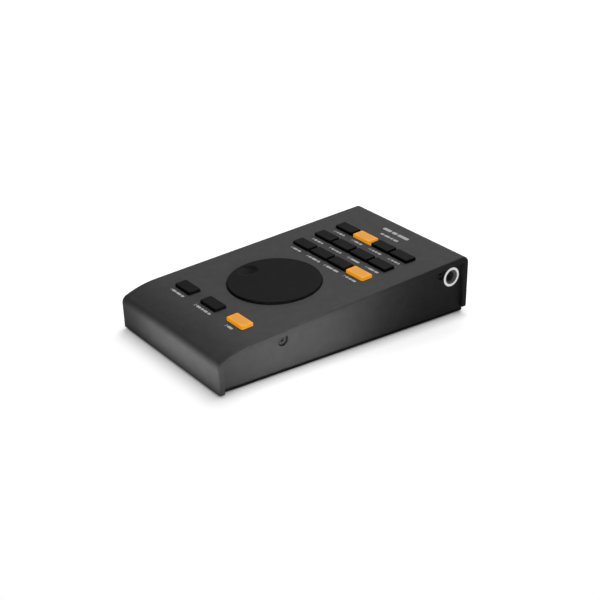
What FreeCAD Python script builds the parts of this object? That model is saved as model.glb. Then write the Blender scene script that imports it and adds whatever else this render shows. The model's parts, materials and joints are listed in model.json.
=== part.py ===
import FreeCAD, Part
import math
import os

from FreeCAD import Rotation, Vector

# Desk remote for an audio interface, in millimetres.
# +X is the right side with the foot-switch jack, -Y is the front, +Z is up.
# The origin is on the desk, under the middle of the housing.
# Pieces on the deck are drawn in the deck's own frame and then tilted into place:
# x across, u up the slope from the front face, n square to the deck with 0 on its top.

# Housing
WIDTH = 108.0
DECK_TILT = 4.25
FRONT_HEIGHT = 27.0
FRONT_LEAN = 3.5
REAR_LEAN = 2.2
COVER_THICKNESS = 4.0
BEND_INNER_RADIUS = 1.0
FRONT_ROLL_RADIUS = 66.0
FRONT_ROLL_END = 25.0
COVER_EDGE_RADIUS = 1.0
COVER_INNER_EDGE_RADIUS = 0.5
FLANGE_FOOT_RADIUS = 0.8
FRONT_FLANGE_GAP = 1.2
REAR_FLANGE_GAP = 4.6
CHEEK_INSET = 2.5
CHEEK_THICKNESS = 7.0
CHEEK_TOP_GAP = 0.15
CHEEK_EDGE_RADIUS = 0.4
BASE_THICKNESS = 2.0
BASE_SIDE_INSET = 0.4
BASE_FRONT_GAP = 0.3
BASE_REAR_INSET = 0.3
BASE_CORNER_RADIUS = 2.0
BASE_LIP_TOP = 9.0
BASE_LIP_THICKNESS = 1.6
BASE_LIP_SIDE_GAP = 0.3
BASE_LIP_REAR_GAP = 0.3
OVERSHOOT = 1.0

# Feet: push-in rubber, a flat head below the base and a bulb above it
FOOT_RADIUS = 5.0
FOOT_STEM_RADIUS = 2.4
FOOT_BULB_RADIUS = 3.2
FOOT_BULB_HEIGHT = 1.2
FOOT_HOLE_CLEARANCE = 0.1
FOOT_FROM_CHEEK = 6.5
FOOT_END_DISTANCE = 16.0

# Screws
SCREW_CLEARANCE = 0.05
CHEEK_SCREW_RADIUS = 1.5
CHEEK_SCREW_LENGTH = 8.0
CHEEK_SCREW_HEAD_RADIUS = 3.5
CHEEK_SCREW_HEAD_HEIGHT = 1.65
CHEEK_SCREW_SOCKET = 2.0
CHEEK_SCREW_SOCKET_DEPTH = 1.0
CHEEK_SCREW_DEPTH = 7.7
CHEEK_SCREW_FROM_ROLL = 22.1
CHEEK_SCREW_FROM_REAR = 23.4
COUNTERBORE_RADIUS = 3.7
COUNTERBORE_DEPTH = 2.6
LUG_WIDTH = 6.0
LUG_LENGTH = 5.0
LUG_BELOW_SCREW = 3.4
BASE_SCREW_RADIUS = 1.5
BASE_SCREW_LENGTH = 8.0
BASE_SCREW_HEAD_RADIUS = 2.6
BASE_SCREW_HEAD_HEIGHT = 1.5
BASE_SCREW_SLOT = 2.0
BASE_SCREW_FROM_EDGE = 3.1
BASE_SCREW_FROM_END = 30.5
BASE_SCREW_HOLE_DEPTH = 7.0

# Keys: a black or lit cap clipped on the stem of a switch on the board
KEY_WIDTH = 16.7
KEY_DEPTH = 8.5
KEY_PROUD = 1.8
KEY_SKIRT = 3.4
KEY_WALL = 1.0
KEY_TOP_WALL = 1.2
KEY_TOP_RADIUS = 0.6
KEY_CORNER_RADIUS = 1.0
KEY_GAP = 0.35
KEY_TRAVEL = 1.0
KEY_BOSS_RADIUS = 2.9
KEY_PITCH = 18.5
KEY_COLUMNS = 4
KEY_ROWS = 3
ROW_PITCH = 18.15
FRONT_KEY_COUNT = 3
FRONT_KEY_PITCH = 28.3
KEYS_FROM_ROLL = 3.7
WHEEL_TO_KEYS = 12.0
WHEEL_TO_ROWS = 11.4

# Frame glued under the deck, with a thin web between neighbouring caps of a row
FRAME_THICKNESS = 1.0
FRAME_MARGIN = 1.2
WEB_WIDTH = 0.8
WEB_BELOW_DECK = 1.0
WEB_FIT = 0.05

# Key switches on the main board
SWITCH_SIDE = 12.0
SWITCH_HEIGHT = 5.5
SWITCH_WALL = 1.4
SWITCH_CAVITY_RADIUS = 4.6
STEM_RADIUS = 1.9
STEM_CLEARANCE = 0.1
STEM_COLLAR_RADIUS = 3.6
STEM_COLLAR_HEIGHT = 1.0
STEM_INTO_CAP = 3.0
STEM_FOOT = 0.4
CAP_FIT = 0.03
LED_LENGTH = 1.6
LED_WIDTH = 0.8
LED_HEIGHT = 0.6
LED_OFFSET = 7.3

# Wheel and its encoder
WHEEL_RADIUS = 30.0
WHEEL_PROUD = 1.5
WHEEL_SUNK = 2.0
WHEEL_EDGE_RADIUS = 0.8
WHEEL_GAP = 0.4
WHEEL_TRAVEL = 0.5
WHEEL_TOP_WALL = 2.6
WHEEL_RIM_WALL = 2.6
HUB_RADIUS = 6.5
HUB_BELOW = 4.6
HUB_HOLE_GAP = 1.0
BUSH_RADIUS = 4.5
BUSH_FIT = 0.03
DIMPLE_RADIUS = 7.0
DIMPLE_DEPTH = 1.5
DIMPLE_DISTANCE = 21.6
DIMPLE_ANGLE = 195.7
SHAFT_RADIUS = 3.0
SHAFT_FLAT = 1.4
SHAFT_CLEARANCE = 0.06
SHAFT_END_GAP = 0.25
SHAFT_COLLAR_RADIUS = 4.0
SHAFT_COLLAR_HEIGHT = 0.9
ENCODER_WIDTH = 12.5
ENCODER_DEPTH = 13.5
ENCODER_HEIGHT = 5.5
ENCODER_WALL = 1.1
ENCODER_CAVITY_RADIUS = 5.2
ACTUATOR_RADIUS = 4.9
ACTUATOR_HEIGHT = 1.1
STOP_GAP = 0.3

# Main board, hung under the deck
BOARD_BELOW_DECK = 11.0
BOARD_THICKNESS = 1.6
BOARD_SIDE_GAP = 1.0
BOARD_FRONT_MARGIN = 8.0
BOARD_TO_JACK = 1.8
STANDOFF_RADIUS = 2.75
STANDOFF_STUD_RADIUS = 1.2
STANDOFF_STUD_LENGTH = 2.2
STANDOFF_HOLE_DEPTH = 2.5
STANDOFF_EDGE = 4.0
STANDOFF_BEFORE_FRAME = 7.1
STANDOFF_BEHIND_FRAME = 5.1
STANDOFF_FROM_END = 3.0
BOARD_SCREW_RADIUS = 1.2
BOARD_SCREW_LENGTH = 4.6
BOARD_SCREW_HEAD_RADIUS = 2.25
BOARD_SCREW_HEAD_HEIGHT = 1.7
CONTROLLER_SIDE = 10.0
CONTROLLER_HEIGHT = 1.4
DRIVER_LENGTH = 10.0
DRIVER_WIDTH = 4.0
DRIVER_HEIGHT = 1.6
DRIVER_SPACING = 22.0

# Small board on the base, with the USB socket
IO_STANDOFF_HEIGHT = 6.0
IO_STANDOFF_RADIUS = 2.5
IO_STANDOFF_SHANK = 2.1
IO_BOARD_LEFT = 24.0
IO_BOARD_RIGHT = 38.0
IO_BOARD_LENGTH = 40.0
IO_BOARD_REAR_GAP = 0.5
IO_HOLE_EDGE = 3.5

# USB type B socket
USB_WIDTH = 12.0
USB_HEIGHT = 11.0
USB_LENGTH = 16.3
USB_SHELL = 0.4
USB_MOUTH_WIDTH = 8.45
USB_MOUTH_HEIGHT = 7.8
USB_MOUTH_DEPTH = 9.0
USB_MOUTH_CHAMFER = 1.6
USB_TONGUE_WIDTH = 5.6
USB_TONGUE_HEIGHT = 3.2
USB_TONGUE_LENGTH = 8.0
USB_CONTACT_WIDTH = 1.0
USB_CONTACT_LENGTH = 6.5
USB_CONTACT_HEIGHT = 0.2
USB_CONTACT_SPACING = 2.5
USB_RECESS = 0.3
USB_GAP = 0.2

# Foot-switch jack, for a 6.35 mm plug
JACK_TO_FLANGE = 4.0
JACK_Z = 28.4
JACK_BORE_RADIUS = 3.2
JACK_BORE_LENGTH = 16.0
JACK_BUSHING_RADIUS = 4.75
JACK_BUSHING_PROUD = 0.2
JACK_MOUTH_CHAMFER = 1.2
JACK_HOLE_GAP = 0.15
JACK_BODY_LENGTH = 25.0
JACK_BODY_HALF_WIDTH = 5.8
JACK_BODY_HALF_HEIGHT = 6.8
JACK_CHAMBER_RADIUS = 4.6
JACK_NUT_RADIUS = 6.6
JACK_NUT_HEIGHT = 0.4
JACK_NUT_FIT = 0.03
JACK_NUT_EDGE_RADIUS = 0.12
CONTACT_THICKNESS = 0.4
CONTACT_WIDTH = 3.0
CONTACT_SPACING = 6.0
CONTACT_TAIL = 3.0
LEAD_RADIUS = 0.6

# Flat cable between the two boards
CABLE_WIDTH = 10.0
CABLE_THICKNESS = 0.3
CABLE_STRAIGHT = 8.0
CABLE_X = -10.0
CABLE_INTO = 2.0
CONNECTOR_WIDTH = 14.0
CONNECTOR_LENGTH = 5.0
CONNECTOR_HEIGHT = 2.6
CONNECTOR_SLOT = 1.3
CONNECTOR_CLEARANCE = 0.05

# Worked out from the sizes above
half_width = WIDTH / 2
tilt = math.radians(DECK_TILT)
lean = math.radians(FRONT_LEAN)
rear_lean = math.radians(REAR_LEAN)
front_keys_u = FRONT_ROLL_END + KEYS_FROM_ROLL + KEY_DEPTH / 2
wheel_u = front_keys_u + KEY_DEPTH / 2 + WHEEL_TO_KEYS + WHEEL_RADIUS
row_1_u = wheel_u + WHEEL_RADIUS + WHEEL_TO_ROWS + KEY_DEPTH / 2
last_row_u = row_1_u + (KEY_ROWS - 1) * ROW_PITCH
frame_reach_u = KEY_DEPTH / 2 + KEY_GAP + FRAME_MARGIN
middle_standoff_u = row_1_u - frame_reach_u - STANDOFF_BEFORE_FRAME
rear_standoff_u = last_row_u + frame_reach_u + STANDOFF_BEHIND_FRAME
board_front_u = front_keys_u - BOARD_FRONT_MARGIN
board_rear_u = rear_standoff_u + STANDOFF_FROM_END
jack_from_rear = JACK_BODY_HALF_WIDTH + JACK_TO_FLANGE + COVER_THICKNESS
length = board_rear_u * math.cos(tilt) + BOARD_TO_JACK + JACK_BODY_HALF_WIDTH + jack_from_rear
front_y = -length / 2
rear_y = length / 2
bend_radius = BEND_INNER_RADIUS + COVER_THICKNESS
cheek_outer = half_width - CHEEK_INSET
cheek_inner = cheek_outer - CHEEK_THICKNESS
base_bottom = FRONT_FLANGE_GAP
base_top = base_bottom + BASE_THICKNESS
base_half_width = cheek_outer - BASE_SIDE_INSET
lip_rear_y = rear_y - COVER_THICKNESS / math.cos(rear_lean) - BASE_LIP_REAR_GAP
lip_rear_y -= (BASE_LIP_TOP - REAR_FLANGE_GAP) * math.tan(rear_lean)
base_rear_y = rear_y - BASE_REAR_INSET
lug_inner = cheek_inner - LUG_WIDTH
head_seat = cheek_outer - COUNTERBORE_DEPTH
board_half_width = lug_inner - BOARD_SIDE_GAP
board_top = -BOARD_BELOW_DECK
board_bottom = board_top - BOARD_THICKNESS
standoff_x = board_half_width - STANDOFF_EDGE
io_bottom = base_top + IO_STANDOFF_HEIGHT
io_top = io_bottom + BOARD_THICKNESS
io_rear_y = lip_rear_y - BASE_LIP_THICKNESS - IO_BOARD_REAR_GAP
io_front_y = io_rear_y - IO_BOARD_LENGTH
jack_y = rear_y - jack_from_rear
jack_mouth = cheek_outer + JACK_BUSHING_PROUD
jack_inner_end = cheek_inner - JACK_BODY_LENGTH
jack_bore_end = jack_mouth - JACK_BORE_LENGTH - JACK_MOUTH_CHAMFER
foot_x = cheek_inner - FOOT_FROM_CHEEK
wheel_ceiling = WHEEL_PROUD - WHEEL_TOP_WALL


def block(x0, x1, y0, y1, z0, z1):
    """Box between two corners."""
    return Part.makeBox(x1 - x0, y1 - y0, z1 - z0, Vector(x0, y0, z0))


def rod(radius, x, y, z0, z1):
    """Upright cylinder between two heights."""
    return Part.makeCylinder(radius, z1 - z0, Vector(x, y, z0))


def rod_x(radius, x0, x1, y, z):
    """Cylinder along X."""
    return Part.makeCylinder(radius, x1 - x0, Vector(x0, y, z), Vector(1, 0, 0))


def hex_prism(across, x0, x1, y, z):
    """Six-sided prism along X, for a key socket."""
    radius = across / math.sqrt(3)
    corners = [
        Vector(x0, y + radius * math.cos(math.radians(a)), z + radius * math.sin(math.radians(a)))
        for a in range(0, 361, 60)
    ]
    return Part.Face(Part.makePolygon(corners)).extrude(Vector(x1 - x0, 0, 0))


def on_deck(shape):
    """Tilt a shape from the deck's frame into the part's frame."""
    placed = shape.copy()
    placed.rotate(Vector(0, 0, 0), Vector(1, 0, 0), DECK_TILT)
    placed.translate(Vector(0, front_y, FRONT_HEIGHT))
    return placed


def deck_point(x, u, n):
    """Point of the deck's frame, in the part's frame."""
    y = u * math.cos(tilt) - n * math.sin(tilt)
    z = u * math.sin(tilt) + n * math.cos(tilt)
    return Vector(x, front_y + y, FRONT_HEIGHT + z)


def mirrored(shape):
    """Copy on the other side of the housing."""
    return shape.mirror(Vector(0, 0, 0), Vector(1, 0, 0))


def row_us():
    """u of each row behind the wheel."""
    return [row_1_u + row * ROW_PITCH for row in range(KEY_ROWS)]


def column_xs():
    """x of each column behind the wheel."""
    return [(column - (KEY_COLUMNS - 1) / 2) * KEY_PITCH for column in range(KEY_COLUMNS)]


def key_places():
    """Name, x and u of each key, front row first."""
    places = []
    for i in range(FRONT_KEY_COUNT):
        x = (i - (FRONT_KEY_COUNT - 1) / 2) * FRONT_KEY_PITCH
        places.append(("front_%d" % (i + 1), x, front_keys_u))
    for row, u in enumerate(row_us()):
        for column, x in enumerate(column_xs()):
            places.append(("row%d_%d" % (row + 1, column + 1), x, u))
    return places


def cheek_screw_places():
    """u of the two screws of a cheek."""
    rear_face_u = length / math.cos(tilt)
    return [FRONT_ROLL_END + CHEEK_SCREW_FROM_ROLL, rear_face_u - CHEEK_SCREW_FROM_REAR]


def standoff_places():
    """x and u of the spacers that hang the main board."""
    places = []
    for side in (-1, 1):
        places.append((side * FRONT_KEY_PITCH / 2, front_keys_u))
        places.append((side * standoff_x, middle_standoff_u))
        places.append((side * standoff_x, rear_standoff_u))
    return places


def io_hole_places():
    """x and y of the spacers under the small board."""
    xs = (-IO_BOARD_LEFT + IO_HOLE_EDGE, IO_BOARD_RIGHT - IO_HOLE_EDGE)
    ys = (io_front_y + IO_HOLE_EDGE, io_rear_y - IO_HOLE_EDGE)
    return [(x, y) for x in xs for y in ys]


def base_screw_places():
    """x and y of the screws that hold the base to the cheeks."""
    x = base_half_width - BASE_SCREW_FROM_EDGE
    spacing = rear_y - BASE_SCREW_FROM_END
    return [(side * x, row * spacing) for side in (-1, 1) for row in (-1, 0, 1)]


def foot_places():
    """x and y of the four feet."""
    y = rear_y - FOOT_END_DISTANCE
    return [(sx * foot_x, sy * y) for sx in (-1, 1) for sy in (-1, 1)]


def front_bend_centre():
    """Middle of the small bend between the leaning front flange and the roll."""
    roll_centre = deck_point(0, FRONT_ROLL_END, -FRONT_ROLL_RADIUS)
    reach = FRONT_ROLL_RADIUS - bend_radius
    y = front_y + bend_radius
    return Vector(0, y, roll_centre.z + math.sqrt(reach ** 2 - (y - roll_centre.y) ** 2))


def front_face_point(depth, z):
    """Point of the front flange at a depth under its outer face and a height."""
    centre = front_bend_centre()
    small = bend_radius - depth
    top_z = centre.z - small * math.sin(lean)
    y = centre.y - small * math.cos(lean) + (top_z - z) * math.tan(lean)
    return Vector(0, y, z)


def rear_face_point(depth, z):
    """Point of the rear flange at a depth under its outer face and a height."""
    y = rear_y - depth / math.cos(rear_lean) - (z - REAR_FLANGE_GAP) * math.tan(rear_lean)
    return Vector(0, y, z)


def rear_bend_centre(normal, rear):
    """Point as far under the deck's plane as inside the rear flange's outer face."""
    deck_level = normal.dot(deck_point(0, 0, 0)) - bend_radius
    face_level = rear.dot(rear_face_point(0, REAR_FLANGE_GAP)) - bend_radius
    spread = normal.y * rear.z - normal.z * rear.y
    y = (deck_level * rear.z - face_level * normal.z) / spread
    z = (normal.y * face_level - rear.y * deck_level) / spread
    return Vector(0, y, z)


def section_edges(depth, front_bottom, rear_bottom):
    """Cover's side outline at a depth under its outer skin, from front foot to rear foot."""
    normal = Vector(0, -math.sin(tilt), math.cos(tilt))
    roll_centre = deck_point(0, FRONT_ROLL_END, -FRONT_ROLL_RADIUS)
    bend_centre = front_bend_centre()
    outward = (bend_centre - roll_centre).normalize()
    roll_radius = FRONT_ROLL_RADIUS - depth
    small = bend_radius - depth

    def arc(centre, radius, start, end):
        middle = (start + end).normalize()
        return Part.Arc(centre + start * radius, centre + middle * radius, centre + end * radius).toShape()

    front = Vector(0, -math.cos(lean), -math.sin(lean))
    rear = Vector(0, math.cos(rear_lean), math.sin(rear_lean))
    rear_centre = rear_bend_centre(normal, rear)
    front_foot = front_face_point(depth, front_bottom)
    bend_low = bend_centre + front * small
    deck_low = roll_centre + normal * roll_radius
    deck_high = rear_centre + normal * small
    rear_low = rear_centre + rear * small
    return [
        Part.LineSegment(front_foot, bend_low).toShape(),
        arc(bend_centre, small, front, outward),
        arc(roll_centre, roll_radius, outward, normal),
        Part.LineSegment(deck_low, deck_high).toShape(),
        arc(rear_centre, small, normal, rear),
        Part.LineSegment(rear_low, rear_face_point(depth, rear_bottom)).toShape(),
    ]


def slab(edges, x0, x1):
    """Closed outline in the YZ plane, given thickness along X."""
    face = Part.Face(Part.Wire(Part.__sortEdges__(edges)))
    face.translate(Vector(x0, 0, 0))
    return face.extrude(Vector(x1 - x0, 0, 0))


def side_edges(plate, outline):
    """Edges of the plate's left and right faces that follow an outline."""
    wire = Part.Wire(outline)
    found = []
    for edge in plate.Edges:
        middle = edge.valueAt((edge.FirstParameter + edge.LastParameter) / 2)
        if abs(abs(middle.x) - half_width) < 1e-6:
            if Part.Vertex(0, middle.y, middle.z).distToShape(wire)[0] < 1e-6:
                found.append(edge)
    return found


def foot_edges(plate):
    """Edges at the lower ends of the two flanges."""
    found = []
    for edge in plate.Edges:
        z = edge.Vertexes[0].Z
        level = all(abs(v.Z - z) < 1e-6 for v in edge.Vertexes)
        if level and min(abs(z - FRONT_FLANGE_GAP), abs(z - REAR_FLANGE_GAP)) < 1e-6:
            found.append(edge)
    return found


def bent_plate():
    """Front flange, deck and rear flange, bent from one plate."""
    outer = section_edges(0, FRONT_FLANGE_GAP, REAR_FLANGE_GAP)
    inner = section_edges(COVER_THICKNESS, FRONT_FLANGE_GAP, REAR_FLANGE_GAP)
    front_foot = Part.LineSegment(outer[0].Vertexes[0].Point, inner[0].Vertexes[0].Point).toShape()
    rear_foot = Part.LineSegment(outer[-1].Vertexes[-1].Point, inner[-1].Vertexes[-1].Point).toShape()
    plate = slab(outer + inner + [front_foot, rear_foot], -half_width, half_width)
    plate = plate.makeFillet(COVER_EDGE_RADIUS, side_edges(plate, outer))
    plate = plate.makeFillet(COVER_INNER_EDGE_RADIUS, side_edges(plate, inner))
    return plate.makeFillet(FLANGE_FOOT_RADIUS, foot_edges(plate))


def rounded_prism(width, depth, radius, x, u, n0, n1):
    """Upright prism with round corners, centred at x and u."""
    tool = block(x - width / 2, x + width / 2, u - depth / 2, u + depth / 2, n0, n1)
    upright = [e for e in tool.Edges if abs(e.Vertexes[0].Z - e.Vertexes[1].Z) > 1e-6]
    return tool.makeFillet(radius, upright)


def top_cover():
    """Bent cover with its openings, screw lugs and blind holes."""
    cover = bent_plate()
    below = -COVER_THICKNESS - OVERSHOOT
    cuts = []
    depth = KEY_DEPTH + 2 * KEY_GAP
    radius = KEY_CORNER_RADIUS + KEY_GAP
    for _, x, u in key_places()[:FRONT_KEY_COUNT]:
        cuts.append(rounded_prism(KEY_WIDTH + 2 * KEY_GAP, depth, radius, x, u, below, OVERSHOOT))
    for u in row_us():
        width = (KEY_COLUMNS - 1) * KEY_PITCH + KEY_WIDTH + 2 * KEY_GAP
        cuts.append(rounded_prism(width, depth, radius, 0, u, below, OVERSHOOT))
    pocket_floor = -WHEEL_SUNK - WHEEL_TRAVEL - STOP_GAP
    cuts.append(rod(WHEEL_RADIUS + WHEEL_GAP, 0, wheel_u, pocket_floor, OVERSHOOT))
    cuts.append(rod(HUB_RADIUS + HUB_HOLE_GAP, 0, wheel_u, below, 0))
    for x, u in standoff_places():
        top = -COVER_THICKNESS + STANDOFF_HOLE_DEPTH
        cuts.append(rod(STANDOFF_STUD_RADIUS + SCREW_CLEARANCE, x, u, below, top))
    cover = cover.cut(on_deck(Part.makeCompound(cuts)))
    cover = cover.fuse([on_deck(lug) for lug in cover_lugs()])
    mouth = block(
        -USB_WIDTH / 2 - USB_GAP, USB_WIDTH / 2 + USB_GAP,
        lip_rear_y - OVERSHOOT, rear_y + OVERSHOOT,
        io_top - USB_GAP, io_top + USB_HEIGHT + USB_GAP,
    )
    return cover.cut(mouth).removeSplitter()


def cover_lugs():
    """Tapped blocks under the deck that the cheek screws pull on."""
    lugs = []
    for side in (-1, 1):
        for u in cheek_screw_places():
            low = -CHEEK_SCREW_DEPTH - LUG_BELOW_SCREW
            x0, x1 = sorted((side * lug_inner, side * cheek_inner))
            lug = block(x0, x1, u - LUG_LENGTH / 2, u + LUG_LENGTH / 2, low, -COVER_THICKNESS)
            hole_radius = CHEEK_SCREW_RADIUS + SCREW_CLEARANCE
            hole = rod_x(hole_radius, x0 - OVERSHOOT, x1 + OVERSHOOT, u, -CHEEK_SCREW_DEPTH)
            lugs.append(lug.cut(hole))
    return lugs


def cheek(side):
    """Side wall between the flanges; the right one carries the jack."""
    depth = COVER_THICKNESS + CHEEK_TOP_GAP
    top = section_edges(depth, base_top, base_top)
    foot = Part.LineSegment(top[0].Vertexes[0].Point, top[-1].Vertexes[-1].Point).toShape()
    wall = slab(top + [foot], cheek_inner, cheek_outer)
    low_edge = [
        e for e in wall.Edges
        if all(abs(v.X - cheek_outer) < 1e-6 and abs(v.Z - base_top) < 1e-6 for v in e.Vertexes)
    ]
    wall = wall.makeFillet(CHEEK_EDGE_RADIUS, low_edge)
    cuts = []
    for u in cheek_screw_places():
        n = -CHEEK_SCREW_DEPTH
        cuts.append(on_deck(rod_x(COUNTERBORE_RADIUS, head_seat, cheek_outer + OVERSHOOT, u, n)))
        hole_radius = CHEEK_SCREW_RADIUS + SCREW_CLEARANCE
        cuts.append(on_deck(rod_x(hole_radius, cheek_inner - OVERSHOOT, cheek_outer, u, n)))
    for x, y in base_screw_places():
        if x > 0:
            hole_top = base_top + BASE_SCREW_HOLE_DEPTH
            cuts.append(rod(BASE_SCREW_RADIUS + SCREW_CLEARANCE, x, y, base_top - OVERSHOOT, hole_top))
    if side > 0:
        hole = JACK_BUSHING_RADIUS + JACK_HOLE_GAP
        cuts.append(rod_x(hole, cheek_inner - OVERSHOOT, cheek_outer + OVERSHOOT, jack_y, JACK_Z))
    wall = wall.cut(cuts)
    return wall if side > 0 else mirrored(wall)


def base_plate():
    """Flat sheet under the cheeks and the rear flange, with a lip that closes the gap there."""
    below = base_bottom - OVERSHOOT
    above = base_top + OVERSHOOT
    base_front_y = front_face_point(COVER_THICKNESS, base_bottom).y + BASE_FRONT_GAP
    plate = rounded_prism(
        2 * base_half_width, base_rear_y - base_front_y, BASE_CORNER_RADIUS,
        0, (base_rear_y + base_front_y) / 2, base_bottom, base_top,
    )
    lip_half = cheek_inner - BASE_LIP_SIDE_GAP
    lip_y = lip_rear_y - BASE_LIP_THICKNESS
    lip = block(-lip_half, lip_half, lip_y, lip_rear_y, base_bottom, BASE_LIP_TOP)
    plate = plate.fuse(lip)
    cuts = []
    for x, y in foot_places():
        cuts.append(rod(FOOT_STEM_RADIUS + FOOT_HOLE_CLEARANCE, x, y, below, above))
    for x, y in base_screw_places():
        cuts.append(countersunk_screw_space(x, y, SCREW_CLEARANCE))
    for x, y in io_hole_places():
        cuts.append(rod(IO_STANDOFF_SHANK + SCREW_CLEARANCE, x, y, below, above))
    return plate.cut(cuts).removeSplitter()


def countersunk_screw_space(x, y, clearance):
    """Flat-headed screw as a solid, swollen by a clearance."""
    radius = BASE_SCREW_RADIUS + clearance
    head = BASE_SCREW_HEAD_RADIUS + clearance
    cone = Part.makeCone(head, radius, BASE_SCREW_HEAD_HEIGHT, Vector(x, y, base_bottom))
    shank = rod(radius, x, y, base_bottom, base_bottom + BASE_SCREW_LENGTH)
    return cone.fuse(shank)


def base_screws():
    """Flat-headed screws up into the cheeks."""
    screws = []
    for x, y in base_screw_places():
        screw = countersunk_screw_space(x, y, 0)
        half = BASE_SCREW_SLOT / 2
        low = base_bottom - OVERSHOOT
        socket = block(x - half, x + half, y - half, y + half, low, base_bottom + half)
        screws.append(screw.cut(socket))
    return Part.makeCompound(screws)


def cheek_screws():
    """Button-headed screws with a hexagon socket, two in each cheek."""
    screws = []
    for u in cheek_screw_places():
        n = -CHEEK_SCREW_DEPTH
        shank = rod_x(CHEEK_SCREW_RADIUS, head_seat - CHEEK_SCREW_LENGTH, head_seat, u, n)
        face = head_seat + CHEEK_SCREW_HEAD_HEIGHT
        head = rod_x(CHEEK_SCREW_HEAD_RADIUS, head_seat, face, u, n)
        rim = [e for e in head.Edges if all(abs(v.X - face) < 1e-6 for v in e.Vertexes)]
        head = head.makeFillet(CHEEK_SCREW_HEAD_HEIGHT / 2, rim)
        socket_floor = face - CHEEK_SCREW_SOCKET_DEPTH
        socket = hex_prism(CHEEK_SCREW_SOCKET, socket_floor, face + OVERSHOOT, u, n)
        screw = on_deck(head.fuse(shank).cut(socket))
        screws += [screw, mirrored(screw)]
    return Part.makeCompound(screws)


def rubber_feet():
    """Push-in feet: head on the desk, stem through the base, bulb above it."""
    feet = []
    for x, y in foot_places():
        head = rod(FOOT_RADIUS, x, y, 0, base_bottom)
        stem = rod(FOOT_STEM_RADIUS, x, y, 0, base_top + FOOT_BULB_HEIGHT)
        bulb = Part.makeCone(
            FOOT_BULB_RADIUS, FOOT_STEM_RADIUS, FOOT_BULB_HEIGHT, Vector(x, y, base_top)
        )
        feet.append(head.fuse([stem, bulb]).removeSplitter())
    return Part.makeCompound(feet)


def key_frame():
    """Black frame under the deck, with the webs seen between the caps of a row."""
    low = -COVER_THICKNESS - FRAME_THICKNESS
    opening_x = KEY_PITCH - WEB_WIDTH
    opening_u = KEY_DEPTH + 2 * KEY_GAP
    half_x = column_xs()[-1] + opening_x / 2 + FRAME_MARGIN
    u0 = row_1_u - frame_reach_u
    u1 = last_row_u + frame_reach_u
    frame = block(-half_x, half_x, u0, u1, low, -COVER_THICKNESS)
    webs = []
    cuts = []
    for u in row_us():
        for x in column_xs():
            cuts.append(block(
                x - opening_x / 2, x + opening_x / 2,
                u - opening_u / 2, u + opening_u / 2,
                low - OVERSHOOT, OVERSHOOT,
            ))
        for x in column_xs()[:-1]:
            middle = x + KEY_PITCH / 2
            half_u = opening_u / 2 - WEB_FIT
            webs.append(block(
                middle - WEB_WIDTH / 2, middle + WEB_WIDTH / 2, u - half_u, u + half_u, low, -WEB_BELOW_DECK
            ))
    return on_deck(frame.cut(cuts).fuse(webs).removeSplitter())


def key_cap(x, u):
    """Hollow cap with a socket for the stem."""
    skirt = -KEY_SKIRT
    half_x = KEY_WIDTH / 2
    half_u = KEY_DEPTH / 2
    cap = rounded_prism(KEY_WIDTH, KEY_DEPTH, KEY_CORNER_RADIUS, x, u, skirt, KEY_PROUD)
    rim = [e for e in cap.Edges if all(abs(v.Z - KEY_PROUD) < 1e-6 for v in e.Vertexes)]
    cap = cap.makeFillet(KEY_TOP_RADIUS, rim)
    hollow = block(
        x - half_x + KEY_WALL, x + half_x - KEY_WALL,
        u - half_u + KEY_WALL, u + half_u - KEY_WALL,
        skirt - OVERSHOOT, KEY_PROUD - KEY_TOP_WALL,
    )
    boss = rod(KEY_BOSS_RADIUS, x, u, skirt, KEY_PROUD - KEY_TOP_WALL)
    socket_top = skirt + STEM_INTO_CAP + CAP_FIT
    socket = rod(STEM_RADIUS + CAP_FIT, x, u, skirt - OVERSHOOT, socket_top)
    return on_deck(cap.cut(hollow).fuse(boss).cut(socket).removeSplitter())


def key_stem(x, u):
    """Moving pin of a switch, with the collar that keeps it in."""
    collar_top = board_top + SWITCH_HEIGHT - SWITCH_WALL - STOP_GAP
    collar_low = collar_top - STEM_COLLAR_HEIGHT
    pin = rod(STEM_RADIUS, x, u, collar_low - STEM_FOOT, -KEY_SKIRT + STEM_INTO_CAP)
    collar = rod(STEM_COLLAR_RADIUS, x, u, collar_low, collar_top)
    return on_deck(pin.fuse(collar).removeSplitter())


def switch_housings():
    """Square housings soldered to the board, hollow for the stem and its spring."""
    housings = []
    half = SWITCH_SIDE / 2
    top = board_top + SWITCH_HEIGHT
    for _, x, u in key_places():
        body = block(x - half, x + half, u - half, u + half, board_top, top)
        cavity = rod(SWITCH_CAVITY_RADIUS, x, u, board_top + STEM_FOOT, top - SWITCH_WALL)
        bore_low = top - SWITCH_WALL - OVERSHOOT
        bore = rod(STEM_RADIUS + STEM_CLEARANCE, x, u, bore_low, top + OVERSHOOT)
        housings.append(on_deck(body.cut([cavity, bore])))
    return Part.makeCompound(housings)


def key_leds():
    """One light under each cap, beside its switch."""
    leds = []
    for _, x, u in key_places():
        low = x + LED_OFFSET - LED_WIDTH / 2
        near = u - LED_LENGTH / 2
        led = block(low, low + LED_WIDTH, near, near + LED_LENGTH, board_top, board_top + LED_HEIGHT)
        leds.append(on_deck(led))
    return Part.makeCompound(leds)


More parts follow.
